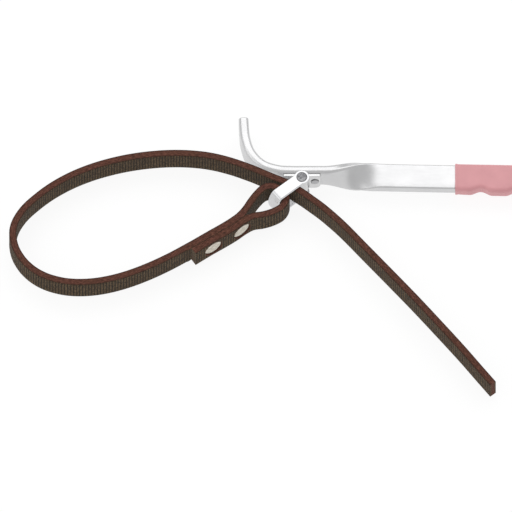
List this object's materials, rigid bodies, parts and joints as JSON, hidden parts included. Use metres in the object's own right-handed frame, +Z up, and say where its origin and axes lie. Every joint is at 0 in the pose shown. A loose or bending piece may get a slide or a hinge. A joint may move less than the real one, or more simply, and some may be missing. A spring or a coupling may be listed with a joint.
{
  "type": "strap wrench",
  "caption": "Strap wrench: flat steel handle with a hooked head and a finger grip, and a thick ribbed belt riveted to a swivelling shackle, looped around a pipe.",
  "frame": {"origin": "centre of the underside of the wrench's bounding box, on the surface it lies on", "axes": "+X along the handle from the head to the grip; +Y across the handle, away from the pipe's loop; +Z up, along the pivot pin and across the belt's width"},
  "size_m": [0.4668, 0.2282, 0.0266],
  "materials": {
    "bar_steel": "satin plated flat steel with light scuffs",
    "grip_plastic": "moulded plastic, faded red to dusty pink, satin",
    "pin_steel": "dark rough steel pin, plain spread ends",
    "saddle_steel": "plated pressed steel",
    "saddle_rivet_metal": "grey round-head steel rivets",
    "shackle_steel": "bright plated strip steel",
    "belt_rubber": "rubberised textile belt, reddish brown edges, olive brown faces with fine cross ribs",
    "belt_rivet_metal": "dull silver-beige broad rivet heads and washers"
  },
  "bodies": {
    "handle": {"handle_bar": "bar_steel", "grip": "grip_plastic", "pivot_pin": "pin_steel", "pin_saddle": "saddle_steel", "saddle_rivet_rear": "saddle_rivet_metal", "saddle_rivet_front": "saddle_rivet_metal"},
    "shackle": {"shackle": "shackle_steel"},
    "strap_eye": {"strap_eye": "belt_rubber", "strap_rivet_rear": "belt_rivet_metal", "strap_rivet_front": "belt_rivet_metal", "strap_burr_rear": "belt_rivet_metal", "strap_burr_front": "belt_rivet_metal"},
    "strap_lower": {"strap_lower": "belt_rubber"},
    "strap_bow": {"strap_bow": "belt_rubber"},
    "strap_upper": {"strap_upper": "belt_rubber"},
    "strap_throat": {"strap_throat": "belt_rubber"},
    "strap_tail": {"strap_tail": "belt_rubber"},
    "strap_tip": {"strap_tip": "belt_rubber"}
  },
  "joints": [
    {"name": "shackle_pivot", "type": "hinge", "parent": "handle", "child": "shackle", "pos_m": [-0.0122, 0.0614, 0.0133], "axis": [0, 0, 1], "range_deg": [0, 20]},
    {"name": "eye_swivel", "type": "hinge", "parent": "shackle", "child": "strap_eye", "pos_m": [-0.03392, 0.04381, 0.0133], "axis": [0, 0, 1], "range_deg": [0, 4]},
    {"name": "loop_sway", "type": "hinge", "parent": "strap_eye", "child": "strap_lower", "pos_m": [-0.11411, -0.00531, 0.0133], "axis": [0, 0, 1], "range_deg": [-10, 10]},
    {"name": "bow_lower", "type": "hinge", "parent": "strap_lower", "child": "strap_bow", "pos_m": [-0.2199, -0.01048, 0.0133], "axis": [0, 0, 1], "range_deg": [-11, 11]},
    {"name": "bow_upper", "type": "hinge", "parent": "strap_bow", "child": "strap_upper", "pos_m": [-0.17506, 0.07018, 0.0133], "axis": [0, 0, 1], "range_deg": [-11, 11]},
    {"name": "throat_bend", "type": "hinge", "parent": "strap_upper", "child": "strap_throat", "pos_m": [-0.06936, 0.07824, 0.0133], "axis": [0, 0, 1], "range_deg": [-11, 11]},
    {"name": "tail_flex", "type": "hinge", "parent": "strap_throat", "child": "strap_tail", "pos_m": [0.02589, 0.01507, 0.0133], "axis": [0, 0, 1], "range_deg": [-20, 15]},
    {"name": "tip_flex", "type": "hinge", "parent": "strap_tail", "child": "strap_tip", "pos_m": [0.08466, -0.05309, 0.0133], "axis": [0, 0, 1], "range_deg": [-20, 15]}
  ],
  "couplings": [
    {"joint": "bow_lower", "follows": "loop_sway", "ratio": -1.038},
    {"joint": "bow_upper", "follows": "loop_sway", "ratio": 1.0552},
    {"joint": "throat_bend", "follows": "loop_sway", "ratio": -1.0172}
  ]
}
